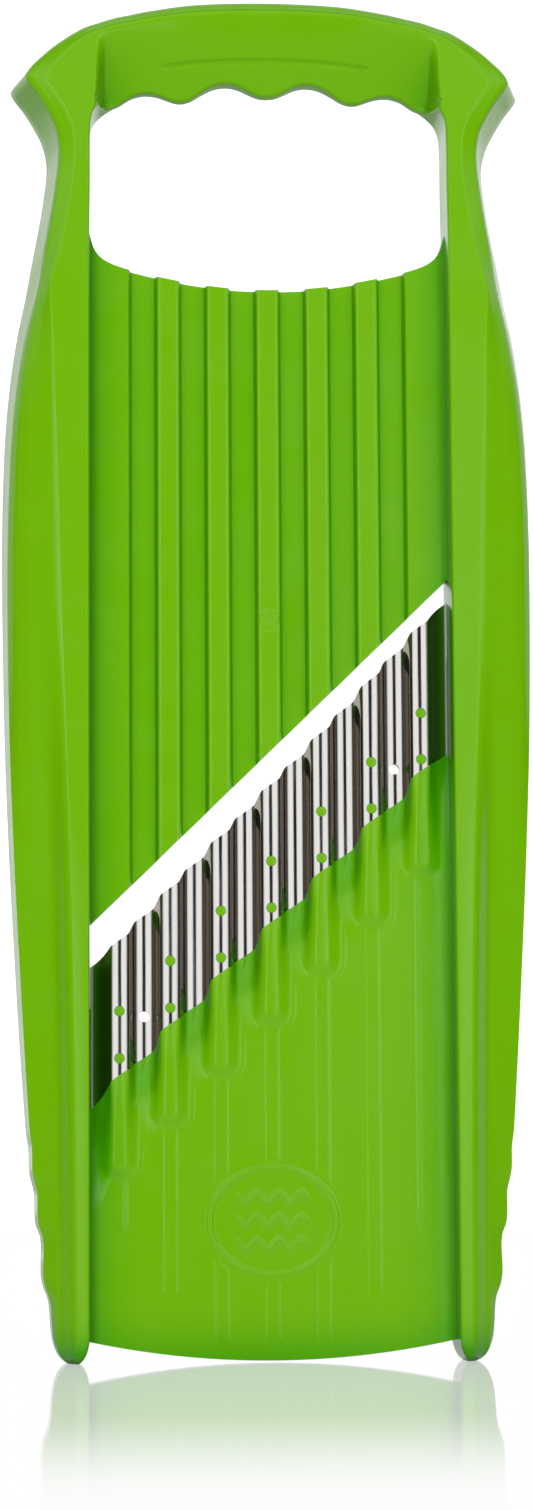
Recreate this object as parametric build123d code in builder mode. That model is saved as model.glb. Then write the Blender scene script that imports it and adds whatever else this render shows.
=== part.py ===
from build123d import *
import os
from math import atan, cos, sin

# Wave slicer, millimetres. It stands upright: X is its width, +Z is up with the handle at the
# top, and -Y faces the cook. A depth is measured backwards from the plane of the rail tops.

# Overall
DEPTH = 16.5                    # rail tops to back rim
CROWN_Z = 326.0                 # top of the arched handle
WALL = 2.3                      # moulded wall thickness
SKIN = 2.4                      # thickness of the ramp and the run-out plate
FAR = 400.0                     # longer than the slicer, for cuts that run right through

# Sides of the outline from the ears down: height, half width where the shoulder ends,
# half width of the flat rail top, and how far the back rim stands out beyond the shoulder
STATIONS = (
    (305.8, 58.2, 55.8, 4.0),
    (299.5, 53.8, 50.8, 3.9),
    (294.5, 51.6, 48.2, 3.5),
    (288.0, 50.5, 47.2, 2.9),
    (278.0, 51.6, 48.6, 2.8),
    (256.0, 55.8, 52.2, 2.6),
    (233.0, 60.2, 51.6, 2.0),
    (205.0, 62.2, 50.6, 1.6),
    (170.0, 62.5, 49.8, 1.3),
    (120.0, 61.0, 48.4, 1.2),
    (62.0, 57.6, 47.5, 1.0),
    (-4.0, 52.8, 46.6, 0.6),
)
SHOULDER_DEPTH = 6.0            # depth where the crowned shoulder becomes the side wall
SHOULDER = ((0.0, 0.0), (0.12, 0.5), (0.45, 1.8), (0.74, 3.0), (0.9, 4.2), (1.0, SHOULDER_DEPTH))
ARCH_INSET = 1.4                # how far the arch draws in at the front plane
ARCH = ((54.8, 311.4), (45.3, 318.9))   # points of the arch between the ear and the crown

# Stepped flange at the rail ends: the height of each step and the half width below it
STEPS = ((46.0, 56.2), (41.5, 55.1), (30.5, 53.6), (17.0, 52.0))
FOOT_OUTSIDE = ((53.4, 9.0), (51.2, 3.4), (48.4, 0.0))     # noses that the slicer stands on
FOOT_INSIDE = ((45.0, 0.0), (43.0, 1.9), (40.2, 4.4))
END_ARC_Z = 0.4                 # lowest point of the run-out plate's curved end
FOOT_WALL_Z = 4.5               # the rails are closed below this height

# Channel between the rails
CHANNEL_HALF = 43.3             # half width at the rail tops
CHANNEL_DRAFT = 0.4             # how much narrower it is at the ramp
PITCH = 12.0                    # crests, ribs and lobes all share this pitch
CRESTS = [PITCH * i for i in range(-3, 4)]

# Feed ramp
RAMP_DEPTH = 11.0
RAMP_RIB_DEPTH = 8.6
RAMP_RIB_WIDTH = 5.2
SIDE_LAND_FROM = 33.4
RAMP_TOP = ((43.0, 269.0), (41.4, 264.9), (37.0, 261.9), (0.0, 256.3))
RAMP_EDGE_Z = 144.0             # height at mid width
RAMP_SLOPE = 0.97               # rise across the slicer
GATE_Z = 176.0                  # round mark on the middle rib
GATE_DIAMETER = 5.4
GATE_RING = 0.6
MARK_DEPTH = 0.3                # depth or height of all shallow marks

# Blade
STEEL = 0.6
CREST_DEPTH = 6.5
VALLEY_DEPTH = 11.5
CREST_FLAT = 2.4                # half width of a crest before its flank
VALLEY_FLAT = 2.2
BEND = 2.9                      # radius of every bend, on the front of the sheet
BLADE_HALF = 42.8
BLADE_SLOPE = 0.985             # rise of the tail, the hole rows and the plastic bed
CUTTING_SLOPE = 1.01
CUTTING_EDGE_Z = 135.8          # height at mid width
TAIL_Z = 97.5
FLAT_SLOPE = 0.62               # rise of both edges across a crest or a valley
ANCHOR_ROWS = (117.5, 106.4)
ANCHOR_DIAMETER = 2.5
LOCATING_X = 30.0
LOCATING_Z = 110.5
LOCATING_DIAMETER = 2.6

# Plastic under and beyond the blade
BED_TOP_Z = 125.0
LOBES_FROM_Z = 101.2
NOSES_Z = 77.0
LOBE_WIDTH = 8.2
LOBE_RISE = 0.3                 # lobe crests stand this much proud of the steel
RUNOUT_DEPTH = 7.8
RUNOUT_RIB_RISE = 0.25
RUNOUT_RIB_WIDTH = 3.0
RUNOUT_RIB_END_Z = (16.0, 4.0, 4.0, 4.0, 16.0)
EMBLEM_Z = 32.7
EMBLEM_SIZE = (31.0, 26.0)
EMBLEM_GAP = 1.5                # bare plate around the emblem
EMBLEM_LINE = 1.3
EMBLEM_WAVE = 10.0
EMBLEM_WAVE_GAP = 5.4

# Handle
GRIP_TOP_Z = 323.4
GRIP_TOP_DEPTH = 0.6            # depth of the grip face under the crown
GRIP_EDGE_DEPTH = 9.0           # depth of the grip face at the scallops
GRIP_SKIN = 2.5
GRIP_HALF = 41.5
GROOVE = (24.6, 310.5, 312.1)   # half length, height at its ends and at mid width
GROOVE_WIDTH = 0.9
OPENING_SIDE_Z = 289.0          # the straight sides of the opening end here
FINGERS = ((43.0, OPENING_SIDE_Z), (42.6, 296.4), (40.6, 300.0), (37.8, 301.5), (34.0, 303.3),
           (29.4, 304.7), (24.8, 303.9), (20.6, 303.1), (15.4, 305.1), (9.8, 307.0), (4.8, 305.9),
           (0.0, 304.3))


def at_depth(d):
    """Plane parallel to the front, a depth d behind the rail tops, with +Z as its own y."""
    return Plane.XZ.offset(DEPTH / 2 - d)


def other_side(points):
    """The same points at -X, in the opposite order."""
    return [(-x, z) for x, z in reversed(points)]


def outline(d, widths, rise):
    """Face of the whole outline: the arch, the ears and both sides, cut straight at the bottom."""
    side = [(w, station[0]) for w, station in zip(widths, STATIONS)]
    half_arch = [side[0]] + [(x + rise / 2, z + rise) for x, z in ARCH]
    arch = half_arch + [(0, CROWN_Z + rise)] + other_side(half_arch)
    with BuildSketch(at_depth(d)) as face:
        with BuildLine():
            Spline(*side)
            Line(side[-1], (-side[-1][0], side[-1][1]))
            Spline(*other_side(side))
            Spline(*arch)
        make_face()
    return face.sketch


def moulding(inset):
    """Solid inside the outline. With an inset it is the space inside the moulded walls."""
    shoulder = []
    for share, d in SHOULDER:
        widths = [top + share * (wall - top) - inset for _, wall, top, _ in STATIONS]
        shoulder.append(outline(d + inset, widths, (share - 1) * ARCH_INSET - inset))
    rim = outline(DEPTH, [wall + flare - inset for _, wall, _, flare in STATIONS], -inset)
    with BuildPart() as block:
        loft(shoulder)
        loft([shoulder[-1], rim], ruled=True)
    return block.part


def band(top_z, bottom_z, slope, front, back):
    """Slanted slab across the channel, between two heights at mid width and two depths."""
    half = CHANNEL_HALF + 1
    with BuildPart() as slab:
        with BuildSketch(at_depth(front)):
            with BuildLine():
                Polyline((-half, top_z - slope * half), (half, top_z + slope * half),
                         (half, bottom_z + slope * half), (-half, bottom_z - slope * half), close=True)
            make_face()
        extrude(amount=front - back)
    return slab.part


def wave(rise):
    """Points of the corrugation in plan, with its crests and valleys moved forwards by rise."""
    points = [(-BLADE_HALF, VALLEY_DEPTH)]
    for x in CRESTS:
        half_flank = PITCH / 2 - VALLEY_FLAT
        points += [(x - half_flank, VALLEY_DEPTH), (x - CREST_FLAT, CREST_DEPTH)]
        points += [(x + CREST_FLAT, CREST_DEPTH), (x + half_flank, VALLEY_DEPTH)]
    points += [(BLADE_HALF, VALLEY_DEPTH)]
    return [(x, d - rise - DEPTH / 2) for x, d in points]


def corrugated_plastic(rise):
    """Upright slab whose front is the wave and whose back is cored out behind each crest."""
    back = [(-CHANNEL_HALF - 1, VALLEY_DEPTH + SKIN - DEPTH / 2)]
    for x in CRESTS:
        back += [(x - 2.6, VALLEY_DEPTH + SKIN - DEPTH / 2), (x - 0.9, CREST_DEPTH + 3.0 - DEPTH / 2)]
        back += [(x + 0.9, CREST_DEPTH + 3.0 - DEPTH / 2), (x + 2.6, VALLEY_DEPTH + SKIN - DEPTH / 2)]
    back += [(CHANNEL_HALF + 1, VALLEY_DEPTH + SKIN - DEPTH / 2)]
    front = wave(rise)
    with BuildPart() as slab:
        with BuildSketch(Plane.XY):
            with BuildLine():
                FilletPolyline(*front, radius=BEND)
                Polyline(front[-1], (CHANNEL_HALF + 1, front[-1][1]), *reversed(back),
                         (-CHANNEL_HALF - 1, front[0][1]), front[0])
            make_face()
        extrude(amount=FAR / 2)
    return slab.part


def staircase(z, slope):
    """Corners of a blade edge: cut straight before the sheet was bent, so it rises in steps."""
    points = []
    for x in [CRESTS[0] - PITCH / 2] + [x + PITCH / 2 for x in CRESTS]:
        for centre, flat in ((x - PITCH / 2, CREST_FLAT), (x, VALLEY_FLAT)):
            points += [(centre + side * flat, z + slope * centre + side * flat * FLAT_SLOPE)
                       for side in (-1, 1)]
    inside = [p for p in points if abs(p[0]) < BLADE_HALF]
    first, last = inside[0], inside[-1]
    start = (-BLADE_HALF, first[1] - (first[0] + BLADE_HALF) * FLAT_SLOPE)
    end = (BLADE_HALF, last[1] + (BLADE_HALF - last[0]) * FLAT_SLOPE)
    return [start] + inside + [end]


# Blade: corrugated sheet, cut along two staircases, with two rows of anchor holes in the
# crests and two locating holes in valleys
with BuildPart() as wave_blade:
    with BuildSketch(Plane.XY):
        with BuildLine():
            FilletPolyline(*wave(0), radius=BEND)
            offset(amount=STEEL, side=Side.RIGHT)
        make_face()
    extrude(amount=FAR / 2)
    with BuildSketch(at_depth(0)):
        with BuildLine():
            Polyline(*staircase(CUTTING_EDGE_Z, CUTTING_SLOPE),
                     *reversed(staircase(TAIL_Z, BLADE_SLOPE)), close=True)
        make_face()
    extrude(amount=-DEPTH, mode=Mode.INTERSECT)
    with BuildSketch(at_depth(0)):
        for row in ANCHOR_ROWS:
            with Locations(*[(x, row + BLADE_SLOPE * x) for x in CRESTS]):
                Circle(ANCHOR_DIAMETER / 2)
        with Locations(*[(x, LOCATING_Z + BLADE_SLOPE * x) for x in (-LOCATING_X, LOCATING_X)]):
            Circle(LOCATING_DIAMETER / 2)
    extrude(amount=-DEPTH, mode=Mode.SUBTRACT)
wave_blade.part.label = "wave_blade"


def above_ramp(shift):
    """Line of the ramp's top edge from left to right, lowered by shift."""
    side, corner, start, middle = [(x, z - shift) for x, z in RAMP_TOP]
    ThreePointArc((-side[0], side[1]), (-corner[0], corner[1]), (-start[0], start[1]))
    ThreePointArc((-start[0], start[1]), middle, start)
    ThreePointArc(start, corner, side)


def end_line():
    """Line of the lower end from right to left: a nose, the curved plate end, the other nose."""
    plate_end = FOOT_INSIDE[-1]
    Spline(*FOOT_OUTSIDE)
    Line(FOOT_OUTSIDE[-1], FOOT_INSIDE[0])
    Spline(*FOOT_INSIDE)
    ThreePointArc(plate_end, (0, END_ARC_Z), (-plate_end[0], plate_end[1]))
    Spline(*other_side(FOOT_INSIDE))
    Line((-FOOT_INSIDE[0][0], 0), (-FOOT_OUTSIDE[-1][0], 0))
    Spline(*other_side(FOOT_OUTSIDE))


def channel_box(top_z, bottom_z, half, front, back):
    """Upright block across the middle of the slicer, between two heights and two depths."""
    with BuildPart() as box:
        with BuildSketch(at_depth(front)):
            with Locations((0, (top_z + bottom_z) / 2)):
                Rectangle(2 * half, top_z - bottom_z)
        extrude(amount=front - back)
    return box.part


def in_front_of_grip(shift, half):
    """Everything in front of the grip face when that is moved back by shift."""
    slope = (GRIP_EDGE_DEPTH - GRIP_TOP_DEPTH) / (GRIP_TOP_Z - FINGERS[-1][1])
    low = GRIP_TOP_DEPTH + slope * (GRIP_TOP_Z - OPENING_SIDE_Z)
    with BuildPart() as wedge:
        with BuildSketch(Plane.YZ.offset(-half)):
            with BuildLine():
                Polyline((-DEPTH, GRIP_TOP_Z), (GRIP_TOP_DEPTH + shift - DEPTH / 2, GRIP_TOP_Z),
                         (low + shift - DEPTH / 2, OPENING_SIDE_Z), (-DEPTH, OPENING_SIDE_Z), close=True)
            make_face()
        extrude(amount=2 * half)
    return wedge.part


def beside_steps(inset):
    """Everything outside the stepped flanges at the rail ends, moved inwards by inset."""
    with BuildPart() as outside:
        with BuildSketch(at_depth(-DEPTH)):
            for z, half in STEPS:
                edge = half - inset + FAR / 2
                with Locations((-edge, z + inset - FAR / 2), (edge, z + inset - FAR / 2)):
                    Rectangle(FAR, FAR)
        extrude(amount=-3 * DEPTH)
    return outside.part


def ramp(left, right, front, back):
    """Slab of the feed ramp between two x values and two depths, from its curved top edge to
    its slanted lower edge."""
    half = CHANNEL_HALF + 1
    with BuildPart() as slab:
        with BuildSketch(at_depth(front)):
            with BuildLine():
                above_ramp(0)
                Line(RAMP_TOP[0], (half, RAMP_TOP[0][1]))
                Polyline((half, RAMP_TOP[0][1]), (half, RAMP_EDGE_Z + RAMP_SLOPE * half),
                         (-half, RAMP_EDGE_Z - RAMP_SLOPE * half), (-half, RAMP_TOP[0][1]))
                Line((-half, RAMP_TOP[0][1]), (-RAMP_TOP[0][0], RAMP_TOP[0][1]))
            make_face()
            with Locations(((left + right) / 2, CROWN_Z / 2)):
                Rectangle(right - left, CROWN_Z, mode=Mode.INTERSECT)
        extrude(amount=front - back)
    return slab.part


def opening_wall():
    """Wall below the hand opening, from the ramp back to the rim."""
    side, high = RAMP_TOP[0]
    half = CHANNEL_HALF + 1
    with BuildPart() as wall:
        with BuildSketch(at_depth(RAMP_DEPTH)):
            with BuildLine():
                above_ramp(0)
                Polyline((side, high), (half, high), (half, high - WALL), (side, high - WALL))
                above_ramp(WALL)
                Polyline((-side, high - WALL), (-half, high - WALL), (-half, high), (-side, high))
            make_face()
        extrude(amount=RAMP_DEPTH - DEPTH)
    return wall.part


def fingers():
    """Upright prisms with round lower ends, one per crest, from the blade's tail to the noses."""
    with BuildPart() as prisms:
        with BuildSketch(at_depth(0)):
            for x in CRESTS:
                low = NOSES_Z + BLADE_SLOPE * x
                high = LOBES_FROM_Z + BLADE_SLOPE * x
                with Locations((x, (low + high + LOBE_WIDTH) / 2)):
                    SlotCenterToCenter(high - low, LOBE_WIDTH, rotation=90)
            half = CHANNEL_HALF + 1
            with BuildLine():
                Polyline((-half, LOBES_FROM_Z - BLADE_SLOPE * half), (half, LOBES_FROM_Z + BLADE_SLOPE * half),
                         (half, -FAR), (-half, -FAR), close=True)
            make_face(mode=Mode.INTERSECT)
        extrude(amount=-DEPTH)
    return prisms.part


def runout():
    """Run-out plate: its front rises from the valleys at the tail to plate level at the noses."""
    slant = atan(BLADE_SLOPE)
    rise_length = (LOBES_FROM_Z - NOSES_Z - LOBE_WIDTH / 2) * cos(slant)
    diagonal = Plane(origin=(0, -DEPTH / 2, LOBES_FROM_Z), x_dir=(sin(slant), 0, -cos(slant)),
                     z_dir=(cos(slant), 0, sin(slant)))
    with BuildPart() as plate:
        with BuildSketch(diagonal):
            with BuildLine():
                Polyline((0, VALLEY_DEPTH), (rise_length, RUNOUT_DEPTH), (FAR, RUNOUT_DEPTH),
                         (FAR, RUNOUT_DEPTH + SKIN), (rise_length, RUNOUT_DEPTH + SKIN),
                         (0, VALLEY_DEPTH + SKIN), close=True)
            make_face()
        extrude(amount=FAR / 2, both=True)
        add(channel_box(CROWN_Z, -DEPTH, CHANNEL_HALF + 1, -DEPTH, 2 * DEPTH), mode=Mode.INTERSECT)
        with BuildSketch(at_depth(RUNOUT_DEPTH)):
            with BuildLine():
                start, end = FOOT_INSIDE[-1], (0, END_ARC_Z)
                ThreePointArc(start, end, (-start[0], start[1]))
                Line((-start[0], start[1]), (-start[0], start[1] + WALL))
                ThreePointArc((-start[0], start[1] + WALL), (0, END_ARC_Z + WALL), (start[0], start[1] + WALL))
                Line((start[0], start[1] + WALL), start)
            make_face()
        extrude(amount=RUNOUT_DEPTH - DEPTH)
    return plate.part


def runout_rib(x, low):
    """Faint upright rib that carries a lobe on down the run-out plate."""
    high = NOSES_Z + BLADE_SLOPE * x + LOBE_WIDTH / 2
    with BuildPart() as rib:
        with BuildSketch(at_depth(RUNOUT_DEPTH)):
            with Locations((x, (high + low) / 2)):
                Rectangle(RUNOUT_RIB_WIDTH, high - low)
            with Locations((0, EMBLEM_Z)):
                Ellipse(EMBLEM_SIZE[0] / 2 + EMBLEM_GAP, EMBLEM_SIZE[1] / 2 + EMBLEM_GAP, mode=Mode.SUBTRACT)
        extrude(amount=RUNOUT_RIB_RISE)
    return rib.part


def groove():
    """Shallow curved groove across the grip face."""
    half, side_z, middle_z = GROOVE
    with BuildPart() as cut:
        with BuildSketch(at_depth(-DEPTH)):
            with BuildLine():
                ThreePointArc((-half, side_z), (0, middle_z), (half, side_z))
            trace(line_width=GROOVE_WIDTH)
        extrude(amount=-3 * DEPTH)
        add(in_front_of_grip(MARK_DEPTH, GRIP_HALF), mode=Mode.INTERSECT)
    return cut.part


def emblem():
    """Plain oval ring around three wavy lines."""
    length, height = EMBLEM_SIZE
    with BuildSketch(at_depth(RUNOUT_DEPTH)) as mark:
        with Locations((0, EMBLEM_Z)):
            Ellipse(length / 2, height / 2)
            Ellipse(length / 2 - EMBLEM_LINE, height / 2 - EMBLEM_LINE, mode=Mode.SUBTRACT)
        for lift in (-1, 0, 1):
            z = EMBLEM_Z + lift * EMBLEM_WAVE_GAP
            with BuildLine():
                Spline(*[(i * EMBLEM_WAVE / 4, z + EMBLEM_WAVE / 8 * (-1) ** i) for i in range(-3, 4)])
            trace(line_width=EMBLEM_LINE)
    return mark.sketch


# Space inside the rails, the stems and the handle: everything inside the walls except the
# channel's own walls, the closed rail ends and the grip
inner_half = CHANNEL_HALF + WALL
with BuildPart() as hollow:
    add(moulding(WALL))
    add(channel_box(FINGERS[2][1], -FAR, inner_half, -DEPTH, 2 * DEPTH), mode=Mode.SUBTRACT)
    add(channel_box(FOOT_WALL_Z, -FAR, FAR, -DEPTH, 2 * DEPTH), mode=Mode.SUBTRACT)
    add(in_front_of_grip(GRIP_SKIN, GRIP_HALF + WALL), mode=Mode.SUBTRACT)
    add(beside_steps(WALL), mode=Mode.SUBTRACT)

# Body: one moulding
with BuildPart() as body:
    add(moulding(0))
    add(hollow.part, mode=Mode.SUBTRACT)

    # channel between the rails, with a little draft on its walls
    with BuildSketch(Plane.XY.offset(-FAR / 2)):
        with BuildLine():
            narrow = CHANNEL_HALF - CHANNEL_DRAFT
            Polyline((-CHANNEL_HALF, -DEPTH), (-CHANNEL_HALF, -DEPTH / 2), (-narrow, RAMP_DEPTH - DEPTH / 2),
                     (-narrow, DEPTH), (narrow, DEPTH), (narrow, RAMP_DEPTH - DEPTH / 2),
                     (CHANNEL_HALF, -DEPTH / 2), (CHANNEL_HALF, -DEPTH), close=True)
        make_face()
    extrude(amount=FAR / 2 + RAMP_TOP[0][1], mode=Mode.SUBTRACT)

    # hand opening, with a scallop for each finger
    with BuildSketch(at_depth(-DEPTH)):
        with BuildLine():
            above_ramp(0)
            Line(RAMP_TOP[0], FINGERS[0])
            Spline(*FINGERS, *other_side(FINGERS)[1:])
            Line((-FINGERS[0][0], FINGERS[0][1]), (-RAMP_TOP[0][0], RAMP_TOP[0][1]))
        make_face()
    extrude(amount=-3 * DEPTH, mode=Mode.SUBTRACT)
    add(in_front_of_grip(0, GRIP_HALF), mode=Mode.SUBTRACT)

    # feed ramp: a skin with raised ribs and side lands, and a wall below the hand opening
    add(ramp(-FAR, FAR, RAMP_DEPTH, RAMP_DEPTH + SKIN))
    for x in CRESTS[1:-1]:
        add(ramp(x - RAMP_RIB_WIDTH / 2, x + RAMP_RIB_WIDTH / 2, RAMP_RIB_DEPTH, RAMP_DEPTH))
    add(ramp(SIDE_LAND_FROM, FAR, RAMP_RIB_DEPTH, RAMP_DEPTH))
    add(ramp(-FAR, -SIDE_LAND_FROM, RAMP_RIB_DEPTH, RAMP_DEPTH))
    add(opening_wall())

    # corrugated bed under the blade, and the lobes that carry its crests on past the tail
    with BuildPart(mode=Mode.PRIVATE) as bed:
        add(corrugated_plastic(0))
        add(band(BED_TOP_Z, LOBES_FROM_Z, BLADE_SLOPE, -DEPTH, 2 * DEPTH), mode=Mode.INTERSECT)
    add(bed.part)
    with BuildPart(mode=Mode.PRIVATE) as lobes:
        add(corrugated_plastic(LOBE_RISE))
        add(fingers(), mode=Mode.INTERSECT)
    add(lobes.part)
    add(runout())
    for x, low in zip(CRESTS[1:-1], RUNOUT_RIB_END_Z):
        add(runout_rib(x, low))

    # the blade's own space, so that plastic fills its anchor holes and nothing else
    add(wave_blade.part, mode=Mode.SUBTRACT)
    with BuildSketch(at_depth(-DEPTH)):
        with Locations(*[(x, LOCATING_Z + BLADE_SLOPE * x) for x in (-LOCATING_X, LOCATING_X)]):
            Circle(LOCATING_DIAMETER / 2)
    extrude(amount=-3 * DEPTH, mode=Mode.SUBTRACT)

    # lower end: noses, curved plate end and stepped flanges
    with BuildSketch(at_depth(-DEPTH)):
        with BuildLine():
            end_line()
            Polyline((-FOOT_OUTSIDE[0][0], FOOT_OUTSIDE[0][1]), (-FAR, FOOT_OUTSIDE[0][1]), (-FAR, -FAR),
                     (FAR, -FAR), (FAR, FOOT_OUTSIDE[0][1]), FOOT_OUTSIDE[0])
        make_face()
    extrude(amount=-3 * DEPTH, mode=Mode.SUBTRACT)
    add(beside_steps(0), mode=Mode.SUBTRACT)

    # shallow marks: curved groove in the grip, gate mark on the ramp, wave emblem on the run-out
    add(groove(), mode=Mode.SUBTRACT)
    with BuildSketch(at_depth(RAMP_RIB_DEPTH)):
        with Locations((0, GATE_Z)):
            Circle(GATE_DIAMETER / 2)
            Circle(GATE_DIAMETER / 2 - GATE_RING, mode=Mode.SUBTRACT)
    extrude(amount=-MARK_DEPTH, mode=Mode.SUBTRACT)
    extrude(emblem(), amount=MARK_DEPTH)
body.part.label = "body"

os.makedirs("parts", exist_ok=True)
export_step(body.part, "parts/body.step")
export_step(wave_blade.part, "parts/wave_blade.step")
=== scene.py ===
from math import cos, hypot, pi, radians, sin

import bpy
import bmesh
import numpy as np
from mathutils import Matrix, Vector


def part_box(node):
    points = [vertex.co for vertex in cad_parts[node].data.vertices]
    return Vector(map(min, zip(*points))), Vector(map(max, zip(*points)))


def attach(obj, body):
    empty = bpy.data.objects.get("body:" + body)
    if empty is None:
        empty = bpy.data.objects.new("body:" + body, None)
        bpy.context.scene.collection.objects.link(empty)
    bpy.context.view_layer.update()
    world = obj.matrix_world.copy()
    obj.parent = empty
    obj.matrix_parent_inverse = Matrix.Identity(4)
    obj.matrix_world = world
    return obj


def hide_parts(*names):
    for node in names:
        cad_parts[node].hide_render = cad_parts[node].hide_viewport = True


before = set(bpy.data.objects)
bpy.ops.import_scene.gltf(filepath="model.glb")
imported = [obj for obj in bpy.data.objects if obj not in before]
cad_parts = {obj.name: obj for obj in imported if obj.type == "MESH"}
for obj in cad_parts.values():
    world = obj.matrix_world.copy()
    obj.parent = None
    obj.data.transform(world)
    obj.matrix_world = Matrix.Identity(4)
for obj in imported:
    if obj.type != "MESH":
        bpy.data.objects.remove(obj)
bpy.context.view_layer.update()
body_low, body_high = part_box("body")

# Lengths below are in millimetres in the CAD frame and become metres when a mesh is made.
# A depth is measured backwards from the plane of the rail tops.
MM = 0.001
DEPTH = (body_high[1] - body_low[1]) / MM
WALL = 2.3                      # thickness of the side walls
SKIN = 2.4                      # thickness behind the ramp, the run-out and the rail tops
PITCH = 12.0                    # from one wave crest to the next
CRESTS = [PITCH * i for i in range(-3, 4)]


# ---------------------------------------------------------------- camera
AIM = Vector((-0.0014, body_low[1], 0.142))
DISTANCE = 0.906
LOOK_UP = radians(6.88)
FROM_LEFT = radians(3.8)
ROLL = radians(-0.335)
LENS_MM = 91.5


def add_camera():
    data = bpy.data.cameras.new("camera")
    data.lens = LENS_MM
    data.sensor_width = 36.0
    data.clip_start = 0.01
    camera = bpy.data.objects.new("camera", data)
    bpy.context.collection.objects.link(camera)
    view = Vector((sin(FROM_LEFT) * cos(LOOK_UP), cos(FROM_LEFT) * cos(LOOK_UP), sin(LOOK_UP)))
    turn = view.to_track_quat("-Z", "Y").to_matrix().to_4x4() @ Matrix.Rotation(ROLL, 4, "Z")
    camera.matrix_world = Matrix.Translation(AIM - DISTANCE * view) @ turn
    bpy.context.scene.camera = camera


# ---------------------------------------------------------------- small tools
def link(name, mesh):
    piece = bpy.data.objects.new(name, mesh)
    bpy.context.collection.objects.link(piece)
    return piece


def smoothstep(value, start, end):
    t = np.clip((value - start) / (end - start), 0.0, 1.0)
    return t * t * (3 - 2 * t)


def hermite(t, start, end, start_slope, end_slope):
    """Cubic that runs from start to end as t runs from 0 to 1, with the given slopes at its ends."""
    return ((2 * t**3 - 3 * t**2 + 1) * start + (t**3 - 2 * t**2 + t) * start_slope
            + (3 * t**2 - 2 * t**3) * end + (t**3 - t**2) * end_slope)


def through(rows, step):
    """Smooth curve through rows of numbers. Its points are about step apart in columns 2 and 3."""
    rows = np.array(rows, float)
    gaps = np.maximum(np.hypot(*np.diff(rows[:, 2:4], axis=0).T), 0.3)
    at = np.concatenate([[0], np.cumsum(gaps)])
    slope = np.empty_like(rows)
    slope[1:-1] = (rows[2:] - rows[:-2]) / (at[2:] - at[:-2])[:, None]
    slope[0] = (rows[1] - rows[0]) / gaps[0]
    slope[-1] = (rows[-1] - rows[-2]) / gaps[-1]
    # at the last row only the two x columns, 0 and 2, keep a slope
    slope[-1, 1] = 0
    slope[-1, 3:] = 0
    out = []
    for i, gap in enumerate(gaps):
        count = max(int(round(gap / step)), 1)
        t = (np.arange(count) / count)[:, None]
        out.append(hermite(t, rows[i], rows[i + 1], gap * slope[i], gap * slope[i + 1]))
    return np.vstack(out + [rows[-1:]])


def knots(pairs):
    """Function that runs smoothly through (place, value) pairs."""
    place, value = np.array(pairs, float).T
    slope = np.gradient(value, place)

    def at(x):
        x = np.clip(x, place[0], place[-1])
        i = np.clip(np.searchsorted(place, x) - 1, 0, len(place) - 2)
        gap = place[i + 1] - place[i]
        t = (x - place[i]) / gap
        return hermite(t, value[i], value[i + 1], gap * slope[i], gap * slope[i + 1])
    return at


def grid_faces(rows, columns, first=0, close=False):
    """Quads of a grid of points, row by row. close joins the last column to the first."""
    r = np.arange(rows - 1)[:, None] * columns
    c = np.arange(columns if close else columns - 1)[None, :]
    n = (c + 1) % columns
    corners = np.stack([r + c, r + n, r + columns + n, r + columns + c], -1)
    return (first + corners).reshape(-1, 4).tolist()


def make_mesh(name, points, faces, sharp_over=35):
    """Mesh object from (x, depth, z) points, smooth except along edges sharper than the angle."""
    points = np.asarray(points, float)
    world = np.column_stack([points[:, 0], points[:, 1] - DEPTH / 2, points[:, 2]]) * MM
    mesh = bpy.data.meshes.new(name)
    mesh.from_pydata(world.tolist(), [], faces)
    finish_mesh(mesh, sharp_over)
    return link(name, mesh)


def finish_mesh(mesh, sharp_over):
    """Joins doubled points, turns the faces outwards and marks the sharp edges."""
    work = bmesh.new()
    work.from_mesh(mesh)
    bmesh.ops.remove_doubles(work, verts=work.verts, dist=0.004 * MM)
    bmesh.ops.recalc_face_normals(work, faces=work.faces)
    for face in work.faces:
        face.smooth = True
    for edge in work.edges:
        edge.smooth = len(edge.link_faces) == 2 and edge.calc_face_angle(0) < radians(sharp_over)
    work.to_mesh(mesh)
    work.free()


def between(first, second, share):
    """Values that run from the first, at share 0, to the second, at share 1."""
    return first * (1 - share) + second * share


def closed_slab(name, face, rear, sharp_over=35):
    """Closed slab between two grids of (x, depth, z) points with the same rows and columns."""
    rows, columns = face.shape[:2]
    count = rows * columns
    faces = grid_faces(rows, columns) + grid_faces(rows, columns, count)
    rim = list(range(columns)) + [r * columns + columns - 1 for r in range(1, rows)]
    rim += [(rows - 1) * columns + c for c in range(columns - 2, -1, -1)]
    rim += [r * columns for r in range(rows - 2, 0, -1)]
    faces += [[a, b, b + count, a + count] for a, b in zip(rim, rim[1:] + rim[:1])]
    return make_mesh(name, np.vstack([face.reshape(-1, 3), rear.reshape(-1, 3)]), faces, sharp_over)


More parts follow.
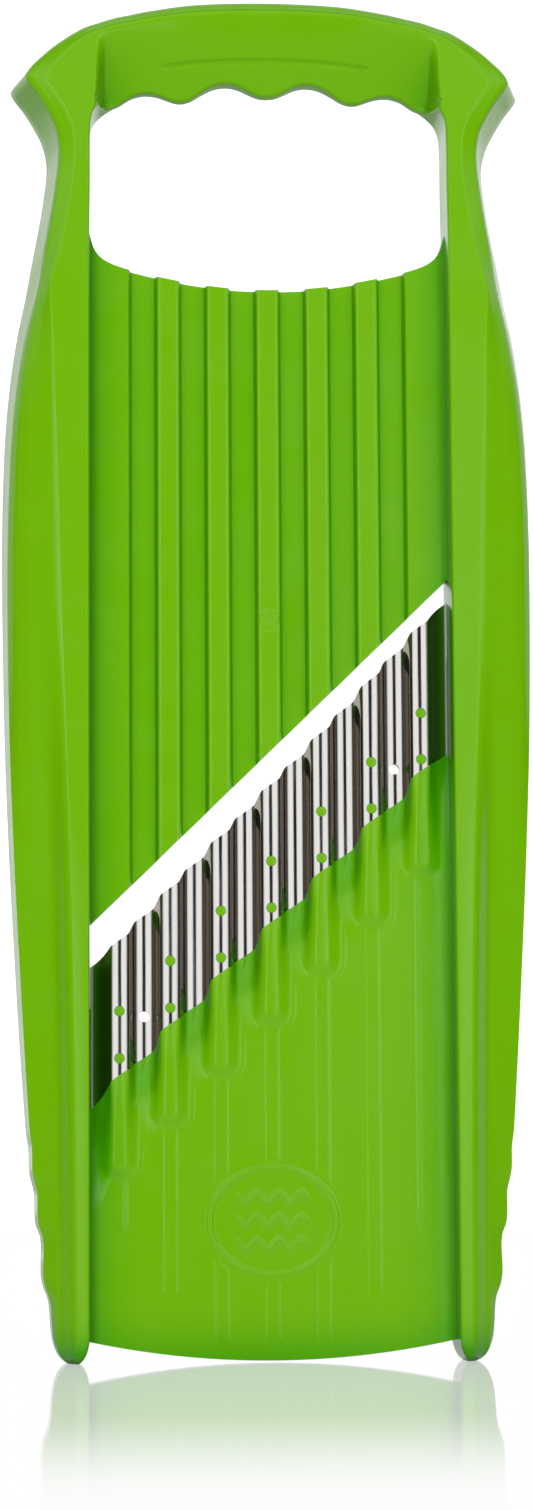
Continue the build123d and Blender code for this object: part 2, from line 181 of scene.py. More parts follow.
# ---------------------------------------------------------------- rails and handle, one swept shell
# Half widths of the outer edge, of the rail top and of the crease, and how far the back rim
# stands out beyond the outer edge, each by height
SIDE = knots([
    (0, 48.0), (0.5, 48.8), (1.1, 49.5), (3.4, 50.8), (6, 51.5), (9, 51.8), (12.6, 52.0), (15.2, 52.4),
    (17.6, 53.3), (20, 53.8), (27, 53.7), (29.6, 54.0), (32, 54.9), (34.5, 55.2), (40, 55.3), (42.4, 55.9),
    (45, 56.4), (50, 56.5), (53.5, 57.0), (62, 57.6), (90, 59.3), (120, 60.9), (145, 61.9), (170, 62.4),
    (190, 62.5), (205, 62.2), (220, 61.5), (233, 60.2), (245, 58.2), (256, 55.7)])
CROWN_HALF = knots([
    (0, 45.8), (10, 45.9), (26, 46.0), (62, 46.4), (120, 47.6), (170, 49.4), (205, 50.4), (233, 51.4),
    (245, 51.9), (256, 52.3)])
CREASE_HALF = knots([(0, 50.3), (8, 50.5), (30, 50.8), (62, 51.2), (120, 52.4), (190, 54.0), (256, 55.0)])
FLARE = knots([
    (0, 0.2), (20, 0.5), (62, 1.0), (120, 1.2), (170, 1.3), (205, 1.6), (233, 2.0), (256, 2.6)])
SLAB_HALF = 43.6                # the ramp and the run-out end inside the rails' inner walls
CHANNEL_DRAFT = 0.3             # each inner wall leans in by this much down to the ramp
RAMP_DEPTH = 11.0
SHOULDER_DEPTH = 6.0

# Stations round the handle: inner x, z; outer x, z; shoulder width and depth; flare; depth of
# the inner wall's back edge
HANDLE = [
    (43.15, 264.0, 54.2, 264.0, 4.2, 4.0, 2.7, DEPTH),
    (43.1, 272.0, 52.6, 272.0, 4.2, 2.8, 2.8, DEPTH),
    (43.0, 280.0, 51.3, 280.0, 4.2, 2.3, 2.8, DEPTH),
    (43.0, 287.0, 50.5, 288.0, 4.0, 2.1, 2.9, DEPTH),
    (42.95, 292.4, 51.1, 293.4, 4.4, 2.0, 3.4, DEPTH),
    (42.7, 296.4, 53.0, 298.0, 5.0, 1.9, 3.8, DEPTH),
    (41.7, 298.9, 55.4, 302.0, 5.6, 1.7, 3.9, DEPTH - 0.6),
    (40.0, 300.4, 57.5, 304.9, 6.0, 1.6, 4.0, 14.6),
    (37.9, 301.4, 58.3, 306.7, 5.6, 1.6, 3.9, 12.8),
    (36.0, 302.2, 57.2, 309.0, 5.0, 1.9, 3.4, 12.0),
    (34.2, 303.2, 54.8, 311.6, 4.2, 2.3, 2.9, 11.7),
    (32.2, 304.2, 51.0, 315.0, 3.4, 2.7, 2.2, 11.6),
    (29.4, 304.8, 45.0, 319.0, 2.9, 3.1, 1.6, 11.6),
    (26.6, 304.5, 41.0, 320.5, 2.9, 3.1, 1.4, 11.6),
    (24.2, 303.7, 37.0, 321.8, 2.9, 3.1, 1.2, 11.6),
    (22.3, 303.1, 33.4, 322.6, 2.9, 3.1, 1.0, 11.6),
    (20.4, 303.0, 30.0, 323.4, 2.9, 3.1, 0.9, 11.6),
    (18.5, 303.5, 27.0, 323.95, 2.9, 3.1, 0.8, 11.6),
    (15.6, 305.2, 22.0, 324.8, 2.9, 3.1, 0.6, 11.6),
    (12.8, 306.6, 18.0, 325.3, 2.9, 3.1, 0.5, 11.6),
    (9.8, 307.1, 14.0, 325.6, 2.9, 3.1, 0.4, 11.6),
    (6.9, 306.6, 10.0, 325.8, 2.9, 3.1, 0.3, 11.6),
    (4.3, 305.4, 6.5, 325.92, 2.9, 3.1, 0.2, 11.6),
    (2.0, 304.5, 3.0, 325.98, 2.9, 3.1, 0.1, 11.6),
    (0.0, 304.3, 0.0, 326.0, 2.9, 3.1, 0.0, 11.6),
]
GRIP_DEPTH = 9.0                # depth of the grip face at the scallops
GRIP_LOW_Z = 304.0
GRIP_CURVE = 1.12
GRIP_FADE_Z = (284.0, 290.0)    # below these heights the stems have no grip face
RIDGE = 3.6                     # the grip face starts to slope this far below the arch
STEM_EDGE = 41.7                # the grip face ends at the stems in a steep side
STEM_FOOT = 39.2
STEM_LEAN = 0.03
STEM_LEAN_Z = 300.0
GROOVE_HALF = 24.6              # plain curved groove across the grip face
GROOVE_MIDDLE_Z = 312.1
GROOVE_DROP = 1.6
GROOVE_DEPTH = 0.35
ARCH = knots([(row[2], row[3]) for row in reversed(HANDLE[11:])])
# How the shoulder falls away, as shares of its depth by shares of its width
UPPER_SHOULDER = knots([
    (0, 1.0), (0.1, 0.7), (0.26, 0.49), (0.55, 0.27), (0.8, 0.09), (0.92, 0.02), (1.0, 0.0)])
LOW_SIDE = knots([(0, 1.0), (0.15, 0.9), (0.4, 0.6), (0.65, 0.27), (0.85, 0.06), (1.0, 0.0)])
FLANGE_DEPTH = 3.7
LOWER_FORM_Z = (185.0, 105.0)   # between these the shoulder takes on its creased lower form
CROWN_RISE = 0.2                # the lower rail tops are slightly domed
CROWN_RISE_Z = (170.0, 60.0)
NOSE_RADIUS = 7.0
NOSE_ROLL = 0.6                 # share of a full quarter round
ROUNDING = ((0.0, 0.7), (0.05, 0.42), (0.2, 0.2), (0.42, 0.05))     # inner edge: distance in, drop
ROUNDED = 0.7
CHAMFER = 0.25                  # at the edges of the open back
DRAFT_Z = (266.0, 256.0)        # the inner walls lean in only below the stems


def rail_rows():
    """Stations up the rail, with the same columns as the handle's."""
    heights = (0, 0.5, 1.1, 2.2, 3.4, 4.7, 6, 9, 12.6, 15.2, 17.6, 20, 23, 27, 29.6, 32, 34.5, 37, 40,
               42.4, 45, 50, 53.5, 62, 76, 90, 105, 120, 145, 170, 190, 205, 220, 233, 245, 256)
    inner = knots([(0, 45.7), (0.5, 45.0), (1.1, 44.5), (2.2, 43.9), (3.4, 43.5), (4.7, 43.25), (9, 43.15),
                   (15, 43.15), (256, 43.15)])
    return [(inner(z), z, SIDE(z), z, SIDE(z) - CROWN_HALF(z), SHOULDER_DEPTH, FLARE(z), DEPTH)
            for z in heights]


def grip_face(x, z):
    """Depth of the grip face, which falls back from the ridge under the arch to the scallops."""
    ridge = ARCH(np.abs(x)) - RIDGE
    share = np.clip((ridge - z) / (ridge - GRIP_LOW_Z), 0, 1.1)
    to_stem = STEM_EDGE + STEM_LEAN * (STEM_LEAN_Z - z) - np.abs(x)
    inside = smoothstep(to_stem, 0.0, STEM_EDGE - STEM_FOOT)
    groove = GROOVE_MIDDLE_Z - GROOVE_DROP * (x / GROOVE_HALF) ** 2
    cut = smoothstep(np.abs(z - groove), 0.75, 0.3)
    cut = cut * smoothstep(np.abs(x), GROOVE_HALF + 0.2, GROOVE_HALF - 0.2)
    return (GRIP_DEPTH * share**GRIP_CURVE + GROOVE_DEPTH * cut) * inside * smoothstep(z, *GRIP_FADE_Z)


def shoulder(z, from_edge, width, depth):
    """How far the surface drops from the rail top towards the outer edge."""
    u = np.clip(from_edge / width, 0, 1)
    upper = depth * UPPER_SHOULDER(u)
    crease = np.clip(SIDE(z) - CREASE_HALF(z), 0.3, 0.85 * width)
    side = np.clip((from_edge - crease) / (width - crease), 0, 1)
    flange = (SHOULDER_DEPTH - FLANGE_DEPTH) * (1 - from_edge / np.maximum(crease, 0.3))
    lower = np.where(from_edge > crease, FLANGE_DEPTH * LOW_SIDE(side), FLANGE_DEPTH + flange)
    weight = smoothstep(z, *LOWER_FORM_Z)
    return upper * (1 - weight) + lower * weight


def nose_roll(z):
    """The rail ends curve back towards their tips like a bullet."""
    low = np.clip(NOSE_RADIUS - z, 0, NOSE_RADIUS)
    return NOSE_ROLL * (NOSE_RADIUS - np.sqrt(NOSE_RADIUS**2 - low**2))


def frame_section(station):
    """Closed loop of (x, depth, z) points across the moulding at one station, on the +X side."""
    inner, outer = station[0:2], station[2:4]
    width, drop, flare, back = station[4:8]
    line = outer - inner
    length = hypot(*line)
    line = line / length
    flat_end = max(length - width, 1.6)

    def place(from_inner):
        return inner + from_inner * line

    def surface(from_inner):
        x, z = place(from_inner)
        crown = CROWN_RISE * smoothstep(z, *CROWN_RISE_Z) * (min(from_inner, flat_end) / flat_end) ** 2
        return grip_face(x, z) + shoulder(z, length - from_inner, width, drop) + nose_roll(z) + crown

    # front: the rounded inner edge, the flat top and the shoulder
    flat = np.linspace(ROUNDED, flat_end, 64)
    across = np.linspace(flat_end, length, 27)[1:]
    front = [(a, surface(a) + lift) for a, lift in ROUNDING]
    front += [(a, surface(a)) for a in (*flat, *across)]
    loop = [(*place(a), d) for a, d in front]
    low, end = front[0][1], front[-1][1]
    # outer wall, rim, and the wall's inner face
    out = np.array([flare, 0.0])
    rim = outer + out
    for s in (0.04, 0.25, 0.5, 0.75, 0.96):
        loop.append((*(outer + s * out), end + s * (DEPTH - end)))
    for a, d in ((CHAMFER, 0.0), (WALL - CHAMFER, 0.0), (WALL, CHAMFER)):
        loop.append((*(rim - a * line), DEPTH - d))
    for s in (0.75, 0.5, 0.25):
        loop.append((*(outer + s * out - WALL * line), end + WALL + s * (DEPTH - end - WALL)))
    # ceiling of the hollow
    ceiling = np.linspace(length - WALL - 0.6, WALL, 14)
    loop += [(*place(a), min(surface(a) + SKIN, DEPTH - 0.6)) for a in ceiling]
    # inner wall, back to where the loop started
    back = min(max(back, surface(0.6) + SKIN + 0.05), DEPTH)
    loop += [(*place(WALL), back - CHAMFER), (*place(WALL - CHAMFER), back), (*place(CHAMFER), back)]
    for s in (1.0, 0.8, 0.6, 0.4, 0.2, 0.06):
        loop.append((*place(0.0), low + s * (back - CHAMFER - low)))
    points = np.array([(x, d, z) for x, z, d in loop])
    draft = CHANNEL_DRAFT * smoothstep(station[1], *DRAFT_Z)
    points[-6:, 0] -= draft * np.clip(points[-6:, 1] / RAMP_DEPTH, 0, 1)
    return points


def build_frame():
    """The section swept up one rail, over the handle and down the other rail."""
    stations = through(rail_rows() + HANDLE, 0.8)
    half = [frame_section(s) for s in stations]
    other = [section * (-1, 1, 1) for section in reversed(half[:-1])]
    loops = half + other
    columns = len(loops[0])
    faces = grid_faces(len(loops), columns, close=True)
    faces.append(list(range(columns)))
    last = (len(loops) - 1) * columns
    faces.append([last + i for i in reversed(range(columns))])
    return make_mesh("body_rails_and_handle", np.vstack(loops), faces)


# ---------------------------------------------------------------- ramp
RAMP_RIB_DEPTH = 8.6
RIB_TOP = 2.5                   # half width of a rib's flat top
RIB_FOOT = 3.3
LAND_TOP = 33.6
LAND_FOOT = 32.7
# Columns of the ramp's grid: distances from each rib's middle, and half widths at the side lands
RIB_COLUMNS = (0, 0.7, 1.4, 1.7, 1.8, 1.9, 2.0, 2.1, 2.2, 2.3, 2.42, 2.5, 2.65, 2.8, 2.95, 3.1, 3.3, 3.5, 4.4)
LAND_COLUMNS = (32.4, 32.7, 32.9, 33.1, 33.3, 33.5, 33.6, 33.8, 34.3, 36, 37.5, 38.6, 39.6, 40.6, 41.4,
                42.0, 42.5, 42.7, 42.9, 43.1, 43.3)
RAMP_TOP_LINE = knots([(0, 256.3), (8, 256.6), (16, 257.45), (24, 258.85), (31, 260.45), (36, 261.8),
                       (38.6, 262.9), (40.8, 264.6), (42.2, 267.0), (42.8, 269.2), (43.8, 272.5)])
RAMP_EDGE_Z = 144.0
RAMP_SLOPE = 0.97
RAMP_LENGTH = 110.0             # about, down the middle
GATE_Z = 176.0
GATE_RADIUS = 2.7                # moulding mark: a faint ring with a dent in its middle


def ramp_front(x, z):
    """Front of the ramp, with its five ribs, side lands and gate mark."""
    rise = np.zeros_like(x)
    for c in CRESTS[1:-1]:
        u = np.abs(x - c)
        crown = 1 - 0.06 * np.clip((u - RIB_TOP + 0.8) / 0.8, 0, 1) ** 2
        rise = np.maximum(rise, smoothstep(u, RIB_FOOT, RIB_TOP) * crown)
    rise = np.maximum(rise, smoothstep(np.abs(x), LAND_FOOT, LAND_TOP))
    gate = np.hypot(x, z - GATE_Z)
    ring = np.exp(-((gate - GATE_RADIUS) / 0.35) ** 2) * 0.12
    dent = smoothstep(gate, 1.2, 0.7) * 0.25
    return RAMP_DEPTH - (RAMP_DEPTH - RAMP_RIB_DEPTH) * rise + ring + dent


def build_ramp():
    """Slab behind the ribbed front, with a deep wall along its top."""
    marks = {-SLAB_HALF, SLAB_HALF}
    marks |= {c + side * offset for c in CRESTS[1:-1] for offset in RIB_COLUMNS for side in (-1, 1)}
    marks |= {side * x for x in LAND_COLUMNS for side in (-1, 1)}
    marks |= {round(float(x), 3) for x in np.arange(-4, 4.01, 0.3)}
    xs = np.array(sorted(marks))
    wall = WALL / RAMP_LENGTH
    rows = np.concatenate([[0, wall * 0.98, wall], np.linspace(0.03, 0.997, 240), [1.0]])
    z = between(RAMP_TOP_LINE(np.abs(xs)), RAMP_EDGE_Z + RAMP_SLOPE * xs, rows[:, None])
    x = np.broadcast_to(xs, z.shape)
    below = RAMP_TOP_LINE(np.abs(x)) - z
    rear = np.where(below < WALL * 0.9, DEPTH, RAMP_DEPTH + SKIN)
    return closed_slab("body_ramp", np.stack([x, ramp_front(x, z), z], -1), np.stack([x, rear, z], -1))


# ---------------------------------------------------------------- blade profile, bed and run-out
STEEL = 0.6                     # thickness of the sheet
CREST_DEPTH = 6.5
VALLEY_DEPTH = 11.5
FOLD = 2.0                      # crests and valleys are gently round this far from their middles
FOLD_RADIUS = 6.5
BLADE_HALF = 42.8
BLADE_SLOPE = 0.985             # rise of the blade's lower edge and of all that follows it
CUTTING_EDGE_Z = 135.8          # heights on the middle line from here on, where an edge slopes
CUTTING_SLOPE = 1.01
CUTTING_LIFT = 1.2              # the cutting edge rises this much more towards its right end
CUTTING_LIFT_X = (10.0, 38.0)
TAIL_Z = 97.5
ANCHOR_ROWS = (117.5, 106.4)
ANCHOR_RADIUS = 1.25
LOCATING_X = 30.0
LOCATING_Z = 110.5
LOCATING_RADIUS = 1.3
BED_TOP_Z = 125.0
LOBES_FROM_Z = 101.2
LOBE_EDGE_LIFT = 1.0
LOBE_EDGE_STEP = 0.9            # the plastic's edge is this much higher on crests, lower in valleys
NOSES_Z = 77.0
RUNOUT_DEPTH = 7.8
LOBE_DEPTH = 6.2
LOBE_RISE = 0.3
LOBE_TOP = 1.1
LOBE_HALF = 5.2
FOOT_HEIGHT = 0.05              # faint line round the foot of each lobe
END_CORNER = (40.2, 4.4)        # the lower end is an arc through here and through the middle
END_MIDDLE_Z = 0.4
END_ARC_HALF = 43.0
COLUMNS_PER_WAVE = 88


def wave(x):
    """Depth of the corrugation's front at x: round crests and valleys joined by steep flanks."""
    u = np.abs((np.asarray(x, float) + PITCH / 2) % PITCH - PITCH / 2)
    crest = CREST_DEPTH + u**2 / (2 * FOLD_RADIUS)
    valley = VALLEY_DEPTH - (PITCH / 2 - u) ** 2 / (2 * FOLD_RADIUS)
    start = CREST_DEPTH + FOLD**2 / (2 * FOLD_RADIUS)
    end = VALLEY_DEPTH - FOLD**2 / (2 * FOLD_RADIUS)
    run = PITCH / 2 - 2 * FOLD
    lean = run * FOLD / FOLD_RADIUS
    t = np.clip((u - FOLD) / run, 0, 1)
    flank = hermite(t, start, end, lean, lean)
    middle = np.where(u < FOLD, crest, np.where(u > PITCH / 2 - FOLD, valley, flank))
    last = np.clip((np.abs(x) - CRESTS[-1] - FOLD) / (BLADE_HALF - CRESTS[-1] - FOLD), 0, 1)
    return np.where(last > 0, start + (VALLEY_DEPTH - start) * (1 - (1 - last) ** 2), middle)


def edge_height(x, middle_z, slope):
    """Height of an edge cut straight across the sheet before it was bent, so it rises in steps."""
    fine = np.linspace(-BLADE_HALF, BLADE_HALF, 8001)
    run = np.concatenate([[0], np.cumsum(np.hypot(np.diff(fine), np.diff(wave(fine))))])
    flat = (run / run[-1] - 0.5) * 2 * BLADE_HALF
    return middle_z + slope * np.where(np.abs(x) < BLADE_HALF, np.interp(x, fine, flat), x)


def lobe_edge(x):
    """Height where the plastic starts to cover the steel: higher on the crests."""
    crest = 1 - 2 * (wave(x) - CREST_DEPTH) / (VALLEY_DEPTH - CREST_DEPTH)
    return edge_height(x, LOBES_FROM_Z, BLADE_SLOPE) + LOBE_EDGE_LIFT + LOBE_EDGE_STEP * crest


def runout_front(x, z):
    """Front of the plastic: bed behind the steel, lobes that carry the crests on, then the plate."""
    below_tail = lobe_edge(x) - z
    length = LOBES_FROM_Z - NOSES_Z
    t = np.clip(below_tail / length, 0, 1)
    near_rail = smoothstep(np.abs(x), 36.0, 41.0)
    valley = smoothstep(t, 0.85 + 0.25 * near_rail, -0.25)
    floor = RUNOUT_DEPTH + (VALLEY_DEPTH - 0.4 - RUNOUT_DEPTH) * valley
    plate = floor - plate_marks(x, z) * smoothstep(below_tail, length * 0.9, length * 1.1)
    lobes = plate
    for c in CRESTS:
        nose_centre = NOSES_Z + BLADE_SLOPE * c + LOBE_HALF
        reach = np.hypot(x - c, np.clip(nose_centre - z, 0, None))
        top = LOBE_DEPTH + (RUNOUT_DEPTH - LOBE_DEPTH) * 0.35 * t + reach**2 / 60
        fall = smoothstep(reach, LOBE_TOP, LOBE_HALF)
        lobes = np.where(np.abs(x - c) < PITCH / 2, np.minimum(top + (plate - top) * fall, plate), lobes)
        foot = np.exp(-((reach - LOBE_HALF - 0.1) / 0.4) ** 2) * smoothstep(x - c, -1.0, 3.0)
        near = np.abs(x - c) < PITCH / 2 + 0.5
        lobes = lobes - FOOT_HEIGHT * foot * near * smoothstep(t, 0.1, 0.5)
    front = between(wave(x) - LOBE_RISE, lobes, smoothstep(t, 0.0, 0.45))
    behind_steel = wave(x) + STEEL - 0.02
    return np.where(below_tail > 0, front, behind_steel)


EMBLEM_Z = 32.7
EMBLEM_HALF = (15.5, 13.0)
MARK_HEIGHT = 0.3
RIB_ENDS_Z = (16.0, 5.0, 5.0, 5.0, 16.0)
RIB_HEIGHT = 0.07
SIDE_RIB_X = 34.6
SIDE_RIB_HEIGHT = 0.12


def plate_marks(x, z):
    """Height of the faint ribs and of the plain wave emblem on the run-out plate."""
    ring_at = np.sqrt((x / EMBLEM_HALF[0]) ** 2 + ((z - EMBLEM_Z) / EMBLEM_HALF[1]) ** 2)
    clear = smoothstep(ring_at, 1.08, 1.12)
    marks = np.zeros_like(x)
    for c, low in zip(CRESTS[1:-1], RIB_ENDS_Z):
        rib = smoothstep(np.abs(x - c), 1.75, 1.35) * smoothstep(z, low - 0.2, low + 0.2)
        marks = np.maximum(marks, rib * clear * RIB_HEIGHT)
    for c in (-SIDE_RIB_X, SIDE_RIB_X):
        rib = smoothstep(np.abs(x - c), 0.6, 0.2) * smoothstep(z, 29.0, 33.0)
        marks = np.maximum(marks, rib * SIDE_RIB_HEIGHT)
    ring = smoothstep(np.abs(ring_at - 0.96), 0.055, 0.03)
    for lift in (-5.4, 0.0, 5.4):
        middle = EMBLEM_Z + lift + 1.15 * np.sin(x * 2 * pi / 5.2)
        line = smoothstep(np.abs(z - middle), 0.85, 0.5) * smoothstep(np.abs(x), 8.6, 8.1)
        ring = np.maximum(ring, line)
    return np.maximum(marks, ring * MARK_HEIGHT)


def build_runout():
    """Bed, lobes and plate as one slab. One row of its grid follows the tail of the steel."""
    xs = np.linspace(-SLAB_HALF, SLAB_HALF, 297)
    tops = BED_TOP_Z + BLADE_SLOPE * xs
    rise = END_CORNER[1] - END_MIDDLE_Z
    radius = (END_CORNER[0] ** 2 + rise**2) / (2 * rise)
    bottoms = END_MIDDLE_Z + radius - np.sqrt(radius**2 - np.minimum(np.abs(xs), END_ARC_HALF) ** 2)
    tail = (tops - lobe_edge(xs)) / (tops - bottoms)
    wall = WALL / (tops - bottoms)
    step = 1e-4
    to_tail = np.linspace(0, 1, 60)[:-1, None] * tail
    to_wall = tail + (1 - wall - tail) * np.linspace(0, 1, 231)[1:, None]
    share = np.vstack([to_tail, tail - step, tail + step, to_wall, 1 - 0.96 * wall, np.ones_like(xs)])
    z = between(tops, bottoms, share)
    x = np.broadcast_to(xs, z.shape)
    front = runout_front(x, z)
    back = np.maximum(front + SKIN, RUNOUT_DEPTH + SKIN)
    back[-2:] = DEPTH
    return closed_slab("body_runout", np.stack([x, front, z], -1), np.stack([x, back, z], -1))


def build_blade():
    """Corrugated sheet, closed, with its two long edges cut straight before it was bent."""
    reach = int(BLADE_HALF / PITCH * COLUMNS_PER_WAVE)
    inside = np.round(PITCH / COLUMNS_PER_WAVE * np.arange(-reach, reach + 1), 4)
    xs = np.concatenate([[-BLADE_HALF], inside, [BLADE_HALF]])
    lift = CUTTING_LIFT * smoothstep(xs, *CUTTING_LIFT_X)
    tops = edge_height(xs, CUTTING_EDGE_Z, CUTTING_SLOPE) + lift
    bottoms = edge_height(xs, TAIL_Z, BLADE_SLOPE)
    depth = wave(xs)
    slope = np.gradient(depth, xs)
    steepness = np.sqrt(1 + slope**2)
    # the sheet thins to its cutting edge, which is the first row
    shares = np.array([0, 0.02, 0.05, 0.2, 0.4, 0.6, 0.8, 1.0])
    thick = STEEL * np.array([0.2, 0.75, 1, 1, 1, 1, 1, 1])[:, None]
    z = between(tops, bottoms, shares[:, None])
    face = np.stack([np.broadcast_to(xs, z.shape), np.broadcast_to(depth, z.shape), z], -1)
    rear = np.stack([xs - thick * slope / steepness, depth + thick / steepness, z], -1)
    return closed_slab("blade_sheet", face, rear, 50)


def rods(name, places, radius, start, end, sides=32, dome=0.0):
    """Closed round rods along the depth, one at each (x, z)."""
    points, faces = [], []
    rings = ((0.0, start - dome), (0.55 * radius, start - 0.7 * dome), (radius - 0.12, start - 0.1 * dome),
             (radius, start + 0.12), (radius, end), (0.0, end))
    angles = [2 * pi * i / sides for i in range(sides)]
    for x, z in places:
        faces += grid_faces(len(rings), sides, len(points), close=True)
        points += [(x + r * cos(angle), d, z + r * sin(angle)) for r, d in rings for angle in angles]
    return make_mesh(name, points, faces)


def anchor_places():
    return [(x, row + BLADE_SLOPE * x) for row in ANCHOR_ROWS for x in CRESTS]


def locating_places():
    return [(x, LOCATING_Z + BLADE_SLOPE * x) for x in (-LOCATING_X, LOCATING_X)]


def drill(piece, cutter):
    """Cuts the cutter out of the piece, then removes the cutter."""
    bpy.context.view_layer.objects.active = piece
    cut = piece.modifiers.new("holes", "BOOLEAN")
    cut.object = cutter
    cut.solver = "EXACT"
    depsgraph = bpy.context.evaluated_depsgraph_get()
    result = bpy.data.meshes.new_from_object(piece.evaluated_get(depsgraph))
    piece.modifiers.clear()
    piece.data = result
    bpy.data.objects.remove(cutter)
    finish_mesh(piece.data, 45)


# ---------------------------------------------------------------- materials
def shader(name):
    material = bpy.data.materials.new(name)
    material.use_nodes = True
    nodes = material.node_tree.nodes
    return material, nodes, material.node_tree.links, nodes["Principled BSDF"]


def ranged(nodes, links, value, start, end, low=0.0, high=1.0, smooth=True):
    """Carries a value over from the range start to end to low to high, and holds it beyond them."""
    node = nodes.new("ShaderNodeMapRange")
    if smooth:
        node.interpolation_type = "SMOOTHSTEP"
    node.inputs["From Min"].default_value = start
    node.inputs["From Max"].default_value = end
    node.inputs["To Min"].default_value = low
    node.inputs["To Max"].default_value = high
    links.new(value, node.inputs["Value"])
    return node.outputs[0]


def painted_light_colour(nodes, links, surface, share, first, second):
    """Painted light: base colour that runs from the first to the second as the share rises."""
    colour = nodes.new("ShaderNodeMix")
    colour.data_type = "RGBA"
    colour.inputs["A"].default_value = (*first, 1)
    colour.inputs["B"].default_value = (*second, 1)
    links.new(share, colour.inputs["Factor"])
    links.new(colour.outputs["Result"], surface.inputs["Base Color"])


def uneven(nodes, links, surface, stretch, scale, low, high, height):
    """Noise that varies the roughness from low to high and lifts a slight bump."""
    place = nodes.new("ShaderNodeTexCoord")
    spread = nodes.new("ShaderNodeMapping")
    spread.inputs["Scale"].default_value = stretch
    links.new(place.outputs["Object"], spread.inputs["Vector"])
    noise = nodes.new("ShaderNodeTexNoise")
    noise.inputs["Scale"].default_value = scale
    noise.inputs["Detail"].default_value = 3.0
    links.new(spread.outputs[0], noise.inputs["Vector"])
    gloss = ranged(nodes, links, noise.outputs["Fac"], 0.3, 0.7, low, high, smooth=False)
    links.new(gloss, surface.inputs["Roughness"])
    bump = nodes.new("ShaderNodeBump")
    bump.inputs["Strength"].default_value = 0.3
    bump.inputs["Distance"].default_value = height
    links.new(noise.outputs["Fac"], bump.inputs["Height"])
    links.new(bump.outputs[0], surface.inputs["Normal"])


def green_plastic():
    """Glossy green moulding. Its base colour is painted a deeper green where ambient occlusion finds hollows:
    painted shade for the light lost inside them.
    """
    material, nodes, links, surface = shader("green_plastic")
    hollow = nodes.new("ShaderNodeAmbientOcclusion")
    hollow.samples = 8
    hollow.inputs["Distance"].default_value = 14 * MM
    openness = ranged(nodes, links, hollow.outputs["AO"], 0.45, 0.95, smooth=False)
    # painted shade: ambient occlusion darkens the base colour to a deeper green in hollows and corners
    painted_light_colour(nodes, links, surface, openness, (0.055, 0.34, 0.0), (0.165, 0.47, 0.0))
    surface.inputs["Specular IOR Level"].default_value = 0.4
    # moulded skin: slow changes of gloss over very low ripples
    uneven(nodes, links, surface, (1, 1, 1), 90, 0.12, 0.21, 0.06 * MM)
    return material


def blade_steel():
    """Polished stainless steel. Its steep flanks are painted brown-grey by how far their normals turn
    sideways: a painted reflection of the flanks mirroring each other.
    """
    material, nodes, links, surface = shader("blade_steel")
    form = nodes.new("ShaderNodeNewGeometry")
    split = nodes.new("ShaderNodeSeparateXYZ")
    links.new(form.outputs["Normal"], split.inputs[0])
    side = nodes.new("ShaderNodeMath")
    side.operation = "ABSOLUTE"
    links.new(split.outputs["X"], side.inputs[0])
    steepness = ranged(nodes, links, side.outputs[0], 0.35, 0.80)
    # painted reflection: faces whose normals turn sideways, the flanks, get a darker brown-grey base colour
    painted_light_colour(nodes, links, surface, steepness, (0.80, 0.785, 0.76), (0.33, 0.29, 0.25))
    surface.inputs["Metallic"].default_value = 1.0
    # rolled sheet: fine streaks along the corrugations
    uneven(nodes, links, surface, (1, 1, 0.04), 1400, 0.05, 0.16, 0.02 * MM)
    return material


# ---------------------------------------------------------------- studio
def add_floor():
    """White glossy floor. Its mirror image of the object fades out towards the camera."""
    half = 6.0
    mesh = bpy.data.meshes.new("floor")
    corners = [(-half, -0.5, 0), (half, -0.5, 0), (half, half, 0), (-half, half, 0)]
    mesh.from_pydata(corners, [], [[0, 1, 2, 3]])
    floor = link("floor", mesh)
    material, nodes, links, surface = shader("floor_gloss")
    nodes.remove(surface)
    white = nodes.new("ShaderNodeEmission")
    white.inputs["Color"].default_value = (1, 1, 1, 1)
    path = nodes.new("ShaderNodeLightPath")
    seen = ranged(nodes, links, path.outputs["Is Camera Ray"], 0.0, 1.0, 0.25, 1.0, smooth=False)
    links.new(seen, white.inputs["Strength"])
    mirror = nodes.new("ShaderNodeBsdfGlossy")
    mirror.inputs["Color"].default_value = (1, 1, 1, 1)
    mirror.inputs["Roughness"].default_value = 0.03
    place = nodes.new("ShaderNodeTexCoord")
    split = nodes.new("ShaderNodeSeparateXYZ")
    links.new(place.outputs["Object"], split.inputs[0])
    fade = ranged(nodes, links, split.outputs["Y"], -0.45, -0.22, 0.03, 0.50)
    mix = nodes.new("ShaderNodeMixShader")
    links.new(fade, mix.inputs[0])
    links.new(white.outputs[0], mix.inputs[1])
    links.new(mirror.outputs[0], mix.inputs[2])
    links.new(mix.outputs[0], nodes["Material Output"].inputs["Surface"])
    mesh.materials.append(material)


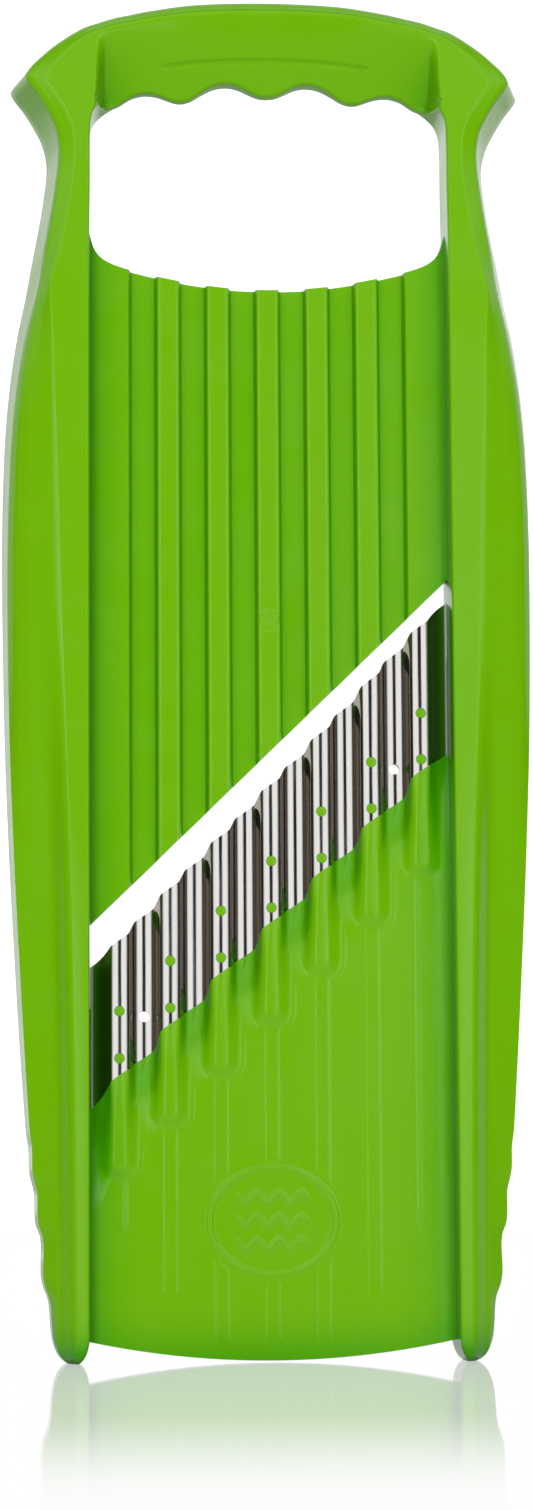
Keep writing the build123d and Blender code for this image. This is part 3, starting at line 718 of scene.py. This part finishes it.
def add_world():
    """White studio. Reflections see soft boxes beside a dark gap, with darker corners beyond them."""
    world = bpy.data.worlds.new("studio")
    world.use_nodes = True
    nodes, links = world.node_tree.nodes, world.node_tree.links

    def math(operation, first, second=None):
        node = nodes.new("ShaderNodeMath")
        node.operation = operation
        for i, value in enumerate((first, second)):
            if value is None:
                continue
            if isinstance(value, (int, float)):
                node.inputs[i].default_value = value
            else:
                links.new(value, node.inputs[i])
        return node.outputs[0]

    def ease(value, start, end, low, high):
        return ranged(nodes, links, value, start, end, low, high)

    coordinates = nodes.new("ShaderNodeTexCoord")
    split = nodes.new("ShaderNodeSeparateXYZ")
    links.new(coordinates.outputs["Generated"], split.inputs[0])
    x, y, z = split.outputs
    azimuth = math("ARCTAN2", math("ABSOLUTE", math("SUBTRACT", x, 0.05)), math("MULTIPLY", y, -1.0))
    boxes = math("MULTIPLY", ease(azimuth, 0.09, 0.15, 0.02, 1.0), ease(azimuth, 0.44, 0.58, 1.0, 0.03))
    boxes = math("MAXIMUM", boxes, ease(z, 0.24, 0.36, 0.0, 0.85))
    boxes = math("MULTIPLY", boxes, ease(math("ABSOLUTE", z), 0.5, 0.8, 1.0, 0.15))
    gloss = math("MAXIMUM", boxes, ease(azimuth, 1.45, 1.75, 0.0, 1.0))
    soft = math("ADD", ease(y, -0.95, -0.2, 0.47, 0.06), ease(y, 0.0, 0.5, 0.0, 1.2))
    path = nodes.new("ShaderNodeLightPath")
    camera, glossy = path.outputs["Is Camera Ray"], path.outputs["Is Glossy Ray"]
    strength = math("ADD", math("MULTIPLY", gloss, glossy),
                    math("MULTIPLY", soft, math("SUBTRACT", 1.0, glossy)))
    strength = math("MAXIMUM", strength, camera)
    shade = nodes["Background"]
    shade.inputs["Color"].default_value = (1, 1, 1, 1)
    links.new(strength, shade.inputs["Strength"])
    bpy.context.scene.world = world


def area_light(name, place, target, size, power):
    data = bpy.data.lights.new(name, "AREA")
    data.shape = "RECTANGLE"
    data.size, data.size_y = size
    data.energy = power
    light = link(name, data)
    light.visible_glossy = False
    direction = Vector(target) - Vector(place)
    turn = direction.to_track_quat("-Z", "Y").to_matrix().to_4x4()
    light.matrix_world = Matrix.Translation(place) @ turn


# ---------------------------------------------------------------- the scene
add_camera()
add_floor()
add_world()
area_light("key", (-0.40, -1.6, 0.35), (0, 0, 0.16), (0.4, 0.6), 11.4)
area_light("fill", (0.35, -1.6, 0.30), (0, 0, 0.16), (0.4, 0.6), 8.6)
bpy.context.scene.view_settings.view_transform = "Standard"

green = green_plastic()
steel = blade_steel()
body_pieces = [build_frame(), build_ramp(), build_runout()]
blade = build_blade()
drill(blade, rods("cutter", anchor_places() + locating_places(), ANCHOR_RADIUS, 2.0, 15.0))
drill(body_pieces[2], rods("cutter", locating_places(), LOCATING_RADIUS, 2.0, 20.0))
body_pieces.append(rods("body_anchor_plugs", anchor_places(), ANCHOR_RADIUS - 0.01, CREST_DEPTH + 0.05,
                        CREST_DEPTH + 2.0, dome=0.08))
for piece in body_pieces:
    piece.data.materials.clear()
    piece.data.materials.append(green)
    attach(piece, "root")
    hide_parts("body")
blade.data.materials.clear()
blade.data.materials.append(steel)
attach(blade, "root")
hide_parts("wave_blade")
